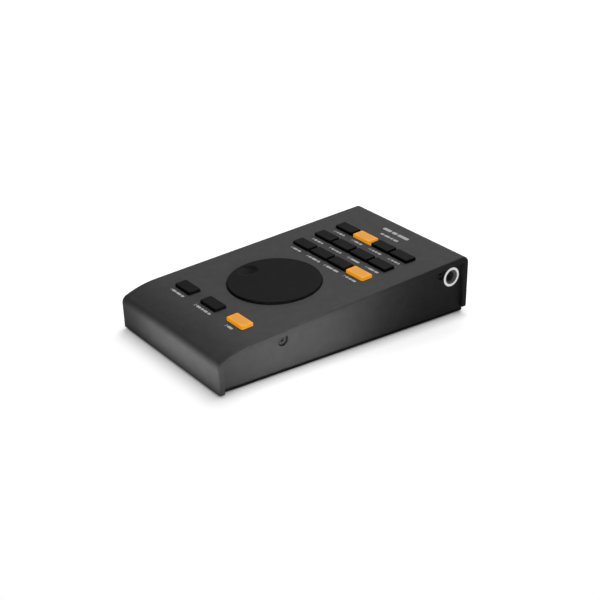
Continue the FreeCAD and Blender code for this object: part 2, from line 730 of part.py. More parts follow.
def control_wheel():
    """Large low wheel with a finger dimple, hollow below, with a hub."""
    bottom = -WHEEL_SUNK
    disc = rod(WHEEL_RADIUS, 0, wheel_u, bottom, WHEEL_PROUD)
    rim = [e for e in disc.Edges if all(abs(v.Z - WHEEL_PROUD) < 1e-6 for v in e.Vertexes)]
    disc = disc.makeFillet(WHEEL_EDGE_RADIUS, rim)
    hollow = rod(WHEEL_RADIUS - WHEEL_RIM_WALL, 0, wheel_u, bottom - OVERSHOOT, wheel_ceiling)
    hub = rod(HUB_RADIUS, 0, wheel_u, -HUB_BELOW, wheel_ceiling)
    seat = rod(BUSH_RADIUS + BUSH_FIT, 0, wheel_u, -HUB_BELOW - OVERSHOOT, wheel_ceiling)
    wheel = disc.cut(hollow).fuse(hub).cut(seat)
    angle = math.radians(DIMPLE_ANGLE)
    ball_radius = (DIMPLE_RADIUS ** 2 + DIMPLE_DEPTH ** 2) / (2 * DIMPLE_DEPTH)
    ball_centre = Vector(
        DIMPLE_DISTANCE * math.cos(angle),
        wheel_u + DIMPLE_DISTANCE * math.sin(angle),
        WHEEL_PROUD - DIMPLE_DEPTH + ball_radius,
    )
    return on_deck(wheel.cut(Part.makeSphere(ball_radius, ball_centre)).removeSplitter())


def flatted_rod(radius, n0, n1, flat_from):
    """Round shaft on the wheel's axis, with one flat above a height."""
    shaft = rod(radius, 0, wheel_u, n0, n1)
    flat = radius - SHAFT_FLAT
    reach = radius + OVERSHOOT
    side = block(-reach, reach, wheel_u + flat, wheel_u + reach, flat_from, n1 + OVERSHOOT)
    return shaft.cut(side)


def wheel_bush():
    """Brass bush in the hub, with a D-shaped bore."""
    low = -HUB_BELOW - OVERSHOOT
    bush = rod(BUSH_RADIUS, 0, wheel_u, -HUB_BELOW, wheel_ceiling - BUSH_FIT)
    bore = flatted_rod(SHAFT_RADIUS + BUSH_FIT, low, wheel_ceiling + OVERSHOOT, low)
    return on_deck(bush.cut(bore))


def encoder_levels():
    """Heights in the encoder: its top, and its cavity's top and bottom."""
    top = board_top + ENCODER_HEIGHT
    cavity_top = top - ENCODER_WALL
    cavity_low = board_top + STEM_FOOT
    return top, cavity_top, cavity_low


def encoder_shaft():
    """Shaft with a flat for the wheel and a collar under the push actuator."""
    _, cavity_top, _ = encoder_levels()
    actuator_low = cavity_top - STOP_GAP - ACTUATOR_HEIGHT
    collar_top = actuator_low - SHAFT_CLEARANCE
    collar_low = collar_top - SHAFT_COLLAR_HEIGHT
    shaft = flatted_rod(SHAFT_RADIUS, collar_low, wheel_ceiling - SHAFT_END_GAP, -HUB_BELOW)
    collar = rod(SHAFT_COLLAR_RADIUS, 0, wheel_u, collar_low, collar_top)
    return on_deck(shaft.fuse(collar).removeSplitter())


def encoder_push_actuator():
    """Ring inside the encoder that goes down with the shaft and works its push switch."""
    _, cavity_top, _ = encoder_levels()
    ring_top = cavity_top - STOP_GAP
    ring_low = ring_top - ACTUATOR_HEIGHT
    bore_radius = SHAFT_RADIUS + SHAFT_CLEARANCE
    ring = rod(ACTUATOR_RADIUS, 0, wheel_u, ring_low, ring_top)
    bore = rod(bore_radius, 0, wheel_u, ring_low - OVERSHOOT, ring_top + OVERSHOOT)
    return on_deck(ring.cut(bore))


def encoder_housing():
    """Encoder body soldered to the board."""
    top, cavity_top, cavity_low = encoder_levels()
    half_x = ENCODER_WIDTH / 2
    half_u = ENCODER_DEPTH / 2
    body = block(-half_x, half_x, wheel_u - half_u, wheel_u + half_u, board_top, top)
    cavity = rod(ENCODER_CAVITY_RADIUS, 0, wheel_u, cavity_low, cavity_top)
    bore_radius = SHAFT_RADIUS + SHAFT_CLEARANCE
    bore = rod(bore_radius, 0, wheel_u, cavity_top - OVERSHOOT, top + OVERSHOOT)
    return on_deck(body.cut([cavity, bore]))


def main_board():
    """Board that carries the switches, the lights and the encoder."""
    board = block(
        -board_half_width, board_half_width, board_front_u, board_rear_u, board_bottom, board_top
    )
    holes = [
        rod(BOARD_SCREW_RADIUS + SCREW_CLEARANCE, x, u, board_bottom - OVERSHOOT, board_top + OVERSHOOT)
        for x, u in standoff_places()
    ]
    return on_deck(board.cut(holes))


def board_standoffs():
    """Spacers between the deck and the main board, each with a stud up into the deck."""
    spacers = []
    for x, u in standoff_places():
        spacer = rod(STANDOFF_RADIUS, x, u, board_top, -COVER_THICKNESS)
        stud_top = -COVER_THICKNESS + STANDOFF_STUD_LENGTH
        stud = rod(STANDOFF_STUD_RADIUS, x, u, -COVER_THICKNESS, stud_top)
        thread_top = board_bottom + BOARD_SCREW_LENGTH + SCREW_CLEARANCE
        thread = rod(BOARD_SCREW_RADIUS + SCREW_CLEARANCE, x, u, board_top - OVERSHOOT, thread_top)
        spacers.append(on_deck(spacer.fuse(stud).cut(thread).removeSplitter()))
    return Part.makeCompound(spacers)


def board_screws():
    """Screws up into the main board's spacers and down into the small board's."""
    screws = []
    for x, u in standoff_places():
        shank = rod(BOARD_SCREW_RADIUS, x, u, board_bottom, board_bottom + BOARD_SCREW_LENGTH)
        head = rod(BOARD_SCREW_HEAD_RADIUS, x, u, board_bottom - BOARD_SCREW_HEAD_HEIGHT, board_bottom)
        screws.append(on_deck(shank.fuse(head).removeSplitter()))
    for x, y in io_hole_places():
        shank = rod(BOARD_SCREW_RADIUS, x, y, io_top - BOARD_SCREW_LENGTH, io_top)
        head = rod(BOARD_SCREW_HEAD_RADIUS, x, y, io_top, io_top + BOARD_SCREW_HEAD_HEIGHT)
        screws.append(shank.fuse(head).removeSplitter())
    return Part.makeCompound(screws)


def board_chips():
    """Controller and driver chips under the main board."""
    half = CONTROLLER_SIDE / 2
    low = board_bottom - CONTROLLER_HEIGHT
    chips = [block(-half, half, wheel_u - half, wheel_u + half, low, board_bottom)]
    low = board_bottom - DRIVER_HEIGHT
    front_u = front_keys_u + KEY_DEPTH
    places = [(-1, front_u), (0, front_u), (1, front_u), (0, row_1_u), (1, row_1_u)]
    for column, u in places:
        x0 = column * DRIVER_SPACING - DRIVER_LENGTH / 2
        u0 = u - DRIVER_WIDTH / 2
        chips.append(block(x0, x0 + DRIVER_LENGTH, u0, u0 + DRIVER_WIDTH, low, board_bottom))
    return Part.makeCompound([on_deck(chip) for chip in chips])


def io_board():
    """Small level board on the base."""
    board = block(-IO_BOARD_LEFT, IO_BOARD_RIGHT, io_front_y, io_rear_y, io_bottom, io_top)
    holes = [
        rod(BOARD_SCREW_RADIUS + SCREW_CLEARANCE, x, y, io_bottom - OVERSHOOT, io_top + OVERSHOOT)
        for x, y in io_hole_places()
    ]
    return board.cut(holes)


def io_standoffs():
    """Spacers pressed into the base."""
    spacers = []
    for x, y in io_hole_places():
        spacer = rod(IO_STANDOFF_RADIUS, x, y, base_top, io_bottom)
        shank = rod(IO_STANDOFF_SHANK, x, y, base_bottom, base_top)
        thread_low = io_top - BOARD_SCREW_LENGTH - SCREW_CLEARANCE
        thread = rod(BOARD_SCREW_RADIUS + SCREW_CLEARANCE, x, y, thread_low, io_bottom + OVERSHOOT)
        spacers.append(spacer.fuse(shank).cut(thread).removeSplitter())
    return Part.makeCompound(spacers)


def usb_levels():
    """Front and back of the USB socket along Y, and the height of its middle."""
    mouth_y = rear_face_point(0, io_top + USB_HEIGHT).y - USB_RECESS
    return mouth_y, mouth_y - USB_LENGTH, io_top + USB_HEIGHT / 2


def usb_socket_shell():
    """Folded metal shell, open at the rear of the housing."""
    mouth_y, back_y, _ = usb_levels()
    half = USB_WIDTH / 2
    shell = block(-half, half, back_y, mouth_y, io_top, io_top + USB_HEIGHT)
    hollow = block(
        -half + USB_SHELL, half - USB_SHELL,
        back_y + USB_SHELL, mouth_y + OVERSHOOT,
        io_top + USB_SHELL, io_top + USB_HEIGHT - USB_SHELL,
    )
    return shell.cut(hollow)


def usb_socket_core():
    """Insulator that fills the shell and leaves the mouth and its tongue."""
    mouth_y, back_y, middle_z = usb_levels()
    half = USB_WIDTH / 2 - USB_SHELL
    core = block(
        -half, half, back_y + USB_SHELL, mouth_y,
        io_top + USB_SHELL, io_top + USB_HEIGHT - USB_SHELL,
    )
    x1 = USB_MOUTH_WIDTH / 2
    z0 = middle_z - USB_MOUTH_HEIGHT / 2
    z1 = middle_z + USB_MOUTH_HEIGHT / 2
    cut = USB_MOUTH_CHAMFER
    floor_y = mouth_y - USB_MOUTH_DEPTH
    lower = [(-x1, z0), (x1, z0), (x1, z1 - cut)]
    upper = [(x1 - cut, z1), (cut - x1, z1), (-x1, z1 - cut), (-x1, z0)]
    outline = lower + upper
    corners = [Vector(x, floor_y, z) for x, z in outline]
    mouth = Part.Face(Part.makePolygon(corners)).extrude(Vector(0, USB_MOUTH_DEPTH + OVERSHOOT, 0))
    tongue = block(
        -USB_TONGUE_WIDTH / 2, USB_TONGUE_WIDTH / 2,
        floor_y, floor_y + USB_TONGUE_LENGTH,
        middle_z - USB_TONGUE_HEIGHT / 2, middle_z + USB_TONGUE_HEIGHT / 2,
    )
    return core.cut(mouth).fuse(tongue).removeSplitter()


def usb_contacts():
    """Four gilt strips, two on each face of the tongue."""
    mouth_y, _, middle_z = usb_levels()
    y0 = mouth_y - USB_MOUTH_DEPTH
    strips = []
    for side in (-1, 1):
        for face in (-1, 1):
            x = side * USB_CONTACT_SPACING / 2
            z = middle_z + face * USB_TONGUE_HEIGHT / 2
            z0, z1 = sorted((z, z + face * USB_CONTACT_HEIGHT))
            strips.append(block(
                x - USB_CONTACT_WIDTH / 2, x + USB_CONTACT_WIDTH / 2, y0, y0 + USB_CONTACT_LENGTH, z0, z1
            ))
    return Part.makeCompound(strips)


def jack_body():
    """Moulded jack with a threaded bushing through the right cheek."""
    body = block(
        jack_inner_end, cheek_inner,
        jack_y - JACK_BODY_HALF_WIDTH, jack_y + JACK_BODY_HALF_WIDTH,
        JACK_Z - JACK_BODY_HALF_HEIGHT, JACK_Z + JACK_BODY_HALF_HEIGHT,
    )
    bushing = rod_x(JACK_BUSHING_RADIUS, cheek_inner, jack_mouth, jack_y, JACK_Z)
    open_end = jack_inner_end - OVERSHOOT
    bore = rod_x(JACK_BORE_RADIUS, open_end, jack_mouth + OVERSHOOT, jack_y, JACK_Z)
    chamber = rod_x(JACK_CHAMBER_RADIUS, open_end, jack_bore_end, jack_y, JACK_Z)
    funnel = Part.makeCone(
        JACK_BORE_RADIUS, JACK_BORE_RADIUS + JACK_MOUTH_CHAMFER, JACK_MOUTH_CHAMFER,
        Vector(jack_mouth - JACK_MOUTH_CHAMFER, jack_y, JACK_Z), Vector(1, 0, 0),
    )
    windows = [contact_window(x) for x in contact_xs()]
    return body.fuse(bushing).cut([bore, chamber, funnel] + windows).removeSplitter()


def contact_xs():
    """x of the tip and sleeve contacts in the jack."""
    first = jack_bore_end - CONTACT_WIDTH
    return [first, first - CONTACT_SPACING]


def contact_window(x):
    """Slot through the floor of the jack for one contact."""
    half = CONTACT_WIDTH / 2 + CONTACT_THICKNESS
    low = JACK_Z - JACK_BODY_HALF_HEIGHT - OVERSHOOT
    return block(x - half, x + half, jack_y - half, jack_y + half, low, JACK_Z)


def jack_contacts():
    """Bent spring strips that reach up into the chamber, with solder tails below."""
    strips = []
    for x in contact_xs():
        half = CONTACT_WIDTH / 2
        low = JACK_Z - JACK_BODY_HALF_HEIGHT - CONTACT_TAIL
        arm_top = JACK_Z - JACK_BORE_RADIUS
        tail = block(
            x - half, x - half + CONTACT_THICKNESS, jack_y - half, jack_y + half, low, arm_top
        )
        pad = block(
            x - half, x + half, jack_y - half, jack_y + half, arm_top - CONTACT_THICKNESS, arm_top
        )
        strips.append(tail.fuse(pad).removeSplitter())
    return Part.makeCompound(strips)


def jack_leads():
    """Short wires from the contact tails down to the small board."""
    leads = []
    for x in contact_xs():
        top = JACK_Z - JACK_BODY_HALF_HEIGHT - CONTACT_TAIL
        wire_x = x - CONTACT_WIDTH / 2 + CONTACT_THICKNESS / 2
        leads.append(rod(LEAD_RADIUS, wire_x, jack_y, io_top, top))
    return Part.makeCompound(leads)


def jack_nut():
    """Flat white ring nut on the outside of the right cheek."""
    face = cheek_outer + JACK_NUT_HEIGHT
    hole_radius = JACK_BUSHING_RADIUS + JACK_NUT_FIT
    nut = rod_x(JACK_NUT_RADIUS, cheek_outer, face, jack_y, JACK_Z)
    hole = rod_x(hole_radius, cheek_outer - OVERSHOOT, face + OVERSHOOT, jack_y, JACK_Z)
    nut = nut.cut(hole)
    rims = [e for e in nut.Edges if all(abs(v.X - face) < 1e-6 for v in e.Vertexes)]
    return nut.makeFillet(JACK_NUT_EDGE_RADIUS, rims)


def cable_path():
    """Flat cable's middle line: level out of the lower connector, round, and back up the slope."""
    start = Vector(CABLE_X, io_front_y + CONNECTOR_LENGTH, io_top + CONNECTOR_SLOT)
    turn_y = start.y - CONNECTOR_LENGTH - CABLE_STRAIGHT
    slope = Vector(0, math.cos(tilt), math.sin(tilt))
    normal = Vector(0, -math.sin(tilt), math.cos(tilt))
    upper = deck_point(CABLE_X, 0, board_bottom - CONNECTOR_SLOT)
    down = Vector(CABLE_X, turn_y, start.z)
    rise = (upper - down).dot(normal)
    radius = rise / (1 + math.cos(tilt))
    centre = Vector(CABLE_X, turn_y, start.z + radius)
    turned = centre + normal * radius
    return start, down, centre, turned, slope, radius


def flat_cable():
    """Flat cable between the boards, in one level run, one half turn and one sloping run."""
    start, down, centre, turned, slope, radius = cable_path()
    half = CABLE_THICKNESS / 2
    normal = Vector(0, -math.sin(tilt), math.cos(tilt))
    up = Vector(0, 0, 1)
    first = Vector(CABLE_X, start.y - CONNECTOR_LENGTH + CABLE_INTO, start.z)
    last = turned + slope * (CABLE_STRAIGHT + CABLE_INTO)
    front = Vector(0, -1, 0)

    def strip_edges(offset):
        low = down - up * offset
        side = centre + front * (radius + offset)
        high = turned + normal * offset
        return (
            Part.LineSegment(first - up * offset, low).toShape(),
            Part.Arc(low, side, high).toShape(),
            Part.LineSegment(high, last + normal * offset).toShape(),
        )

    ends = [
        Part.LineSegment(first - up * half, first + up * half).toShape(),
        Part.LineSegment(last - normal * half, last + normal * half).toShape(),
    ]
    edges = list(strip_edges(half)) + list(strip_edges(-half)) + ends
    face = Part.Face(Part.Wire(Part.__sortEdges__(edges)))
    face.translate(Vector(-CABLE_WIDTH / 2, 0, 0))
    return face.extrude(Vector(CABLE_WIDTH, 0, 0))


def cable_connectors():
    """Low connectors on the two boards, both open towards the front."""
    start, _, _, turned, slope, _ = cable_path()
    half = CONNECTOR_WIDTH / 2
    slot_half = CABLE_WIDTH / 2 + CONNECTOR_CLEARANCE
    slot_high = CABLE_THICKNESS / 2 + CONNECTOR_CLEARANCE
    y0 = start.y - CONNECTOR_LENGTH
    lower = block(CABLE_X - half, CABLE_X + half, y0, start.y, io_top, io_top + CONNECTOR_HEIGHT)
    lower = lower.cut(block(
        CABLE_X - slot_half, CABLE_X + slot_half,
        y0 - OVERSHOOT, y0 + CABLE_INTO + CONNECTOR_CLEARANCE,
        start.z - slot_high, start.z + slot_high,
    ))
    origin = deck_point(0, 0, 0)
    u0 = (turned - origin).dot(slope) + CABLE_STRAIGHT
    n = board_bottom - CONNECTOR_SLOT
    upper = block(
        CABLE_X - half, CABLE_X + half, u0, u0 + CONNECTOR_LENGTH,
        board_bottom - CONNECTOR_HEIGHT, board_bottom,
    )
    upper = upper.cut(block(
        CABLE_X - slot_half, CABLE_X + slot_half,
        u0 - OVERSHOOT, u0 + CABLE_INTO + CONNECTOR_CLEARANCE,
        n - slot_high, n + slot_high,
    ))
    return Part.makeCompound([lower, on_deck(upper)])


def all_nodes():
    """Every node of the part, by name."""
    nodes = {
        "top_cover": top_cover(),
        "left_cheek": cheek(-1),
        "right_cheek": cheek(1),
        "base_plate": base_plate(),
        "rubber_feet": rubber_feet(),
        "cheek_screws": cheek_screws(),
        "base_screws": base_screws(),
        "main_board": main_board(),
        "board_standoffs": board_standoffs(),
        "board_screws": board_screws(),
        "board_chips": board_chips(),
        "key_frame": key_frame(),
        "switch_housings": switch_housings(),
        "key_leds": key_leds(),
        "control_wheel": control_wheel(),
        "wheel_bush": wheel_bush(),
        "encoder_shaft": encoder_shaft(),
        "encoder_push_actuator": encoder_push_actuator(),
        "encoder_housing": encoder_housing(),
        "io_board": io_board(),
        "io_standoffs": io_standoffs(),
        "usb_socket_shell": usb_socket_shell(),
        "usb_socket_core": usb_socket_core(),
        "usb_contacts": usb_contacts(),
        "jack_body": jack_body(),
        "jack_nut": jack_nut(),
        "jack_contacts": jack_contacts(),
        "jack_leads": jack_leads(),
        "flat_cable": flat_cable(),
        "cable_connectors": cable_connectors(),
    }
    for name, x, u in key_places():
        nodes["key_cap_" + name] = key_cap(x, u)
        nodes["key_stem_" + name] = key_stem(x, u)
    return nodes


os.makedirs("parts", exist_ok=True)
for name, shape in all_nodes().items():
    shape.exportStep("parts/%s.step" % name)
    report = (name, len(shape.Solids), shape.Volume, shape.isValid())
    print("%-24s solids %2d  volume %10.1f  valid %s" % report)
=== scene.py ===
"""Looks of the desk remote: finishes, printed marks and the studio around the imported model.

Lengths are in metres, in the model's own frame: +X is the side with the jack, -Y the front, +Z up.
"""

import json
import logging
import math
from dataclasses import dataclass, field
from enum import Enum

import bmesh
import bpy
from mathutils import Matrix, Vector


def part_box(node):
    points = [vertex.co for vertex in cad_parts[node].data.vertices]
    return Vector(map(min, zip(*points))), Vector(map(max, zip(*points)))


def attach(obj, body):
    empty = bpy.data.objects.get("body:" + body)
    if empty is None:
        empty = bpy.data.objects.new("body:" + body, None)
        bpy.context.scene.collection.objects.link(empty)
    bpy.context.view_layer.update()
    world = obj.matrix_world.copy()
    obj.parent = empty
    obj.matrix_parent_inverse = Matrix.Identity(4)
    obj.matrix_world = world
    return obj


MM = 0.001
HOUSING = "housing"
CAP = "key_cap_"
STEM = "key_stem_"

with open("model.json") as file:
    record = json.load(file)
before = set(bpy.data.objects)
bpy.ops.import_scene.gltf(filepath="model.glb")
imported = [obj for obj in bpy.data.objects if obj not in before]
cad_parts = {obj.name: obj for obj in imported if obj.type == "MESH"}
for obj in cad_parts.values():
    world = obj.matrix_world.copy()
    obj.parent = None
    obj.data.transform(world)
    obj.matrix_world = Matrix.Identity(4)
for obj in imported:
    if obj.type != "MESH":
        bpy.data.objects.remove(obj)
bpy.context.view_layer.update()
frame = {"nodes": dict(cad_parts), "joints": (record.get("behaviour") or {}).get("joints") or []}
log = logging.getLogger("desk_remote")

Triple = tuple[float, float, float]
Colour = Triple


def grey(level: float) -> Colour:
    """Neutral colour of one level, linear."""
    return (level, level, level)


def scaled(colour: Colour, factor: float) -> Colour:
    """Colour times a factor."""
    return tuple(factor * c for c in colour)


def middle_of(node: str) -> Vector:
    """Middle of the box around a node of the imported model."""
    low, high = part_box(node)
    return (low + high) / 2


class Graph:
    """Node graph of one material, with short calls to add and join nodes."""

    def __init__(self, name: str) -> None:
        """Start an empty material.

        Args:
            name: the material's name.
        """
        self.material = bpy.data.materials.new(name)
        self.material.use_nodes = True
        self.tree = self.material.node_tree
        self.tree.nodes.clear()
        self.output = self.tree.nodes.new("ShaderNodeOutputMaterial")

    def add(self, kind: str, **settings: object) -> bpy.types.Node:
        """Add a node.

        Args:
            kind: the node's type without its "ShaderNode" prefix.
            settings: attributes of the node, or input sockets by lower-case name.

        Returns:
            The node.
        """
        node = self.tree.nodes.new("ShaderNode" + kind)
        for key, value in settings.items():
            if hasattr(node, key):
                setattr(node, key, value)
            else:
                node.inputs[key.replace("_", " ").title()].default_value = value
        return node

    def join(self, source: bpy.types.NodeSocket, target: bpy.types.NodeSocket) -> None:
        """Link two sockets."""
        self.tree.links.new(source, target)

    def surface(self, base: Colour, roughness: float, **inputs: object) -> bpy.types.Node:
        """Add the main shader and send it to the output.

        Args:
            base: base colour, linear.
            roughness: mean roughness.
            inputs: other input sockets, by name with underscores for blanks.

        Returns:
            The shader node.
        """
        shader = self.tree.nodes.new("ShaderNodeBsdfPrincipled")
        shader.inputs["Base Color"].default_value = (*base, 1.0)
        shader.inputs["Roughness"].default_value = roughness
        for key, value in inputs.items():
            shader.inputs[key.replace("_", " ")].default_value = value
        self.join(shader.outputs["BSDF"], self.output.inputs["Surface"])
        return shader

    def position(self) -> bpy.types.NodeSocket:
        """Place on the surface, in the object's own coordinates."""
        return self.add("TexCoord").outputs["Object"]

    def noise(
        self, size: float, detail: float = 2.0, stretch: Triple = (1.0, 1.0, 1.0)
    ) -> bpy.types.NodeSocket:
        """Add a noise pattern.

        Args:
            size: width of its blobs, in metres.
            detail: number of finer layers.
            stretch: scale of the pattern along each axis.

        Returns:
            The socket with its level, from 0 to 1.
        """
        mapping = self.add("Mapping")
        mapping.inputs["Scale"].default_value = stretch
        self.join(self.position(), mapping.inputs["Vector"])
        node = self.add("TexNoise")
        node.inputs["Scale"].default_value = 1.0 / size
        node.inputs["Detail"].default_value = detail
        self.join(mapping.outputs["Vector"], node.inputs["Vector"])
        return node.outputs["Fac"]

    def ball(self, centre: Vector, reach: Triple) -> bpy.types.NodeSocket:
        """Add a level that falls evenly around a point.

        Args:
            centre: the point where the level is 1.
            reach: distance to level 0 along each axis.

        Returns:
            The socket with the level.
        """
        mapping = self.add("Mapping", vector_type="TEXTURE")
        mapping.inputs["Location"].default_value = centre
        mapping.inputs["Scale"].default_value = reach
        self.join(self.position(), mapping.inputs["Vector"])
        node = self.add("TexGradient", gradient_type="SPHERICAL")
        self.join(mapping.outputs["Vector"], node.inputs["Vector"])
        return node.outputs["Fac"]

    def ramp(
        self, level: bpy.types.NodeSocket, stops: list[tuple[float, Colour]]
    ) -> bpy.types.NodeSocket:
        """Turn a level into a colour.

        Args:
            level: socket with the level.
            stops: level and colour of each stop.

        Returns:
            The socket with the colour.
        """
        node = self.add("ValToRGB")
        elements = node.color_ramp.elements
        while len(elements) < len(stops):
            elements.new(0.5)
        for element, (place, colour) in zip(elements, stops):
            element.position = place
            element.color = (*colour, 1.0)
        self.join(level, node.inputs["Fac"])
        return node.outputs["Color"]

    def rough(
        self, level: bpy.types.NodeSocket, middle: float, swing: float, shader: bpy.types.Node
    ) -> None:
        """Vary a shader's roughness by a level.

        Args:
            level: socket with the level.
            middle: roughness halfway.
            swing: how far it goes to either side.
            shader: the shader.
        """
        node = self.add("MapRange")
        node.inputs["To Min"].default_value = middle - swing
        node.inputs["To Max"].default_value = middle + swing
        self.join(level, node.inputs["Value"])
        self.join(node.outputs["Result"], shader.inputs["Roughness"])

    def bump(self, level: bpy.types.NodeSocket, height: float, shader: bpy.types.Node) -> None:
        """Raise the surface by a level.

        Args:
            level: socket with the level.
            height: how far level 1 stands above level 0, in metres.
            shader: the shader that takes the bent normals.
        """
        node = self.add("Bump")
        node.inputs["Distance"].default_value = height
        self.join(level, node.inputs["Height"])
        self.join(node.outputs["Normal"], shader.inputs["Normal"])


@dataclass(frozen=True)
class PowderCoat:
    """Fine matt powder coat: small soft grain, slight mottling."""

    name: str
    base: Colour
    roughness: float = 0.55
    swing: float = 0.06
    specular: float = 0.04
    mottle: float = 6.0 * MM
    contrast: float = 0.07
    grain: float = 0.35 * MM
    depth: float = 0.010 * MM

    def material(self) -> bpy.types.Material:
        """Make the material.

        Returns:
            The material.
        """
        graph = Graph(self.name)
        shader = graph.surface(self.base, self.roughness, Specular_IOR_Level=self.specular)
        dark = scaled(self.base, 1 - self.contrast)
        light = scaled(self.base, 1 + self.contrast)
        mottled = graph.ramp(graph.noise(self.mottle, 4.0), [(0.3, dark), (0.7, light)])
        graph.join(mottled, shader.inputs["Base Color"])
        fine = graph.noise(self.grain, 3.0)
        graph.rough(fine, self.roughness, self.swing, shader)
        graph.bump(fine, self.depth, shader)
        return graph.material


@dataclass(frozen=True)
class MouldedPlastic:
    """Moulded plastic with a faint spark-eroded grain."""

    name: str
    base: Colour
    roughness: float = 0.45
    swing: float = 0.05
    specular: float = 0.4
    cloud: float = 4.0 * MM
    contrast: float = 0.1
    grain: float = 0.18 * MM
    depth: float = 0.004 * MM

    def material(self) -> bpy.types.Material:
        """Make the material.

        Returns:
            The material.
        """
        graph = Graph(self.name)
        shader = graph.surface(self.base, self.roughness, Specular_IOR_Level=self.specular)
        dark = scaled(self.base, 1 - self.contrast)
        light = scaled(self.base, 1 + self.contrast)
        clouded = graph.ramp(graph.noise(self.cloud, 3.0), [(0.35, dark), (0.65, light)])
        graph.join(clouded, shader.inputs["Base Color"])
        fine = graph.noise(self.grain, 2.0)
        graph.rough(fine, self.roughness, self.swing, shader)
        graph.bump(fine, self.depth, shader)
        return graph.material


@dataclass(frozen=True)
class Metal:
    """Plated or turned metal with fine drawn lines along the height."""

    name: str
    base: Colour
    roughness: float = 0.3
    swing: float = 0.08
    contrast: float = 0.15
    lines: float = 0.12 * MM
    stretch: Triple = (1.0, 1.0, 0.08)
    depth: float = 0.003 * MM

    def material(self) -> bpy.types.Material:
        """Make the material.

        Returns:
            The material.
        """
        graph = Graph(self.name)
        shader = graph.surface(self.base, self.roughness, Metallic=1.0)
        dark = scaled(self.base, 1 - self.contrast)
        drawn = graph.noise(self.lines, 2.0, self.stretch)
        graph.join(graph.ramp(drawn, [(0.3, dark), (0.7, self.base)]), shader.inputs["Base Color"])
        graph.rough(drawn, self.roughness, self.swing, shader)
        graph.bump(drawn, self.depth, shader)
        return graph.material


@dataclass(frozen=True)
class LitResin:
    """Translucent cap lit from below: paler in the middle, deeper at its edges and sides."""

    name: str
    centre: Vector
    half_width: float
    half_depth: float
    base: Colour = (0.25, 0.08, 0.006)
    middle: Colour = (0.50, 0.225, 0.018)
    edge: Colour = (0.66, 0.26, 0.006)
    edge_share: float = 0.3
    roughness: float = 0.36
    swing: float = 0.06
    specular: float = 0.1
    cloud: float = 1.5 * MM

    def material(self) -> bpy.types.Material:
        """Make the material.

        Returns:
            The material.
        """
        graph = Graph(self.name)
        shader = graph.surface(
            self.base, self.roughness, Specular_IOR_Level=self.specular, Emission_Strength=1.0
        )
        inward = graph.ball(self.centre, (self.half_width, self.half_depth, 1.0))
        glow = graph.ramp(inward, [(0.0, self.edge), (self.edge_share, self.middle)])
        graph.join(glow, shader.inputs["Emission Color"])
        graph.rough(graph.noise(self.cloud, 3.0), self.roughness, self.swing, shader)
        return graph.material


@dataclass(frozen=True)
class RingPlastic:
    """Glossy white plastic of a ring across X that glows with painted light, with painted shade
    towards its inner and outer rims.
    """

    name: str
    centre: Vector
    base: Colour
    # painted light: the ring glows evenly so that it reads white without more lamp light
    glow: float = 0.6
    # painted shade: share of the white that is left at the ring's rims
    rim_shade_share: float = 0.2
    reach: float = 8.0 * MM
    inner_rim: float = 4.8 * MM
    inner_face: float = 5.2 * MM
    outer_face: float = 6.24 * MM
    outer_rim: float = 6.6 * MM
    roughness: float = 0.36
    swing: float = 0.06
    cloud: float = 1.5 * MM

    def material(self) -> bpy.types.Material:
        """Make the material.

        Returns:
            The material.
        """
        graph = Graph(self.name)
        # painted light: the ring's colour is also sent out as glow
        shader = graph.surface(self.base, self.roughness, Emission_Strength=self.glow)
        inward = graph.ball(self.centre, (1.0, self.reach, self.reach))
        # painted shade: the white falls to a dark band at the inner and outer rims
        rim = scaled(self.base, self.rim_shade_share)
        painted_shade_bands = (
            (self.outer_rim, rim), (self.outer_face, self.base),
            (self.inner_face, self.base), (self.inner_rim, rim),
        )
        colour = graph.ramp(inward, [(1 - radius / self.reach, shade) for radius, shade in painted_shade_bands])
        graph.join(colour, shader.inputs["Base Color"])
        graph.join(colour, shader.inputs["Emission Color"])
        graph.rough(graph.noise(self.cloud, 3.0), self.roughness, self.swing, shader)
        return graph.material


@dataclass(frozen=True)
class PrintInk:
    """Screen-printed ink with slightly uneven cover."""

    name: str
    base: Colour
    roughness: float = 0.6
    specular: float = 0.3
    contrast: float = 0.1
    speckle: float = 0.25 * MM

    def material(self) -> bpy.types.Material:
        """Make the material.

        Returns:
            The material.
        """
        graph = Graph(self.name)
        shader = graph.surface(self.base, self.roughness, Specular_IOR_Level=self.specular)
        thin = scaled(self.base, 1 - self.contrast)
        cover = graph.ramp(graph.noise(self.speckle, 3.0), [(0.35, thin), (0.6, self.base)])
        graph.join(cover, shader.inputs["Base Color"])
        return graph.material


class Shade(Enum):
    """Base colours of the object's finishes, linear."""

    COVER = grey(0.048)
    CHEEK = grey(0.048)
    BASE = grey(0.004)
    FOOT = grey(0.012)
    CHEEK_SCREW = grey(0.040)
    BASE_SCREW = grey(0.05)
    WHEEL = grey(0.0072)
    BUSH = (0.62, 0.43, 0.16)
    SHAFT = grey(0.5)
    ACTUATOR = grey(0.7)
    ENCODER = grey(0.02)
    KEY = grey(0.0078)
    KEY_STEM = grey(0.6)
    KEY_FRAME = grey(0.004)
    KEY_SWITCH = grey(0.02)
    KEY_LIGHT = (0.8, 0.6, 0.3)
    INK = grey(0.42)
    BOARD = (0.012, 0.07, 0.03)
    SPACER = (0.6, 0.45, 0.2)
    BOARD_SCREW = grey(0.55)
    CHIP = grey(0.012)
    FLAT_CABLE = grey(0.65)
    CONNECTOR = (0.7, 0.65, 0.5)
    CONTACT = (0.75, 0.52, 0.16)
    LEAD = (0.3, 0.02, 0.015)
    USB_SHELL = grey(0.6)
    USB_CORE = grey(0.65)
    JACK = grey(0.15)
    RING = grey(0.82)


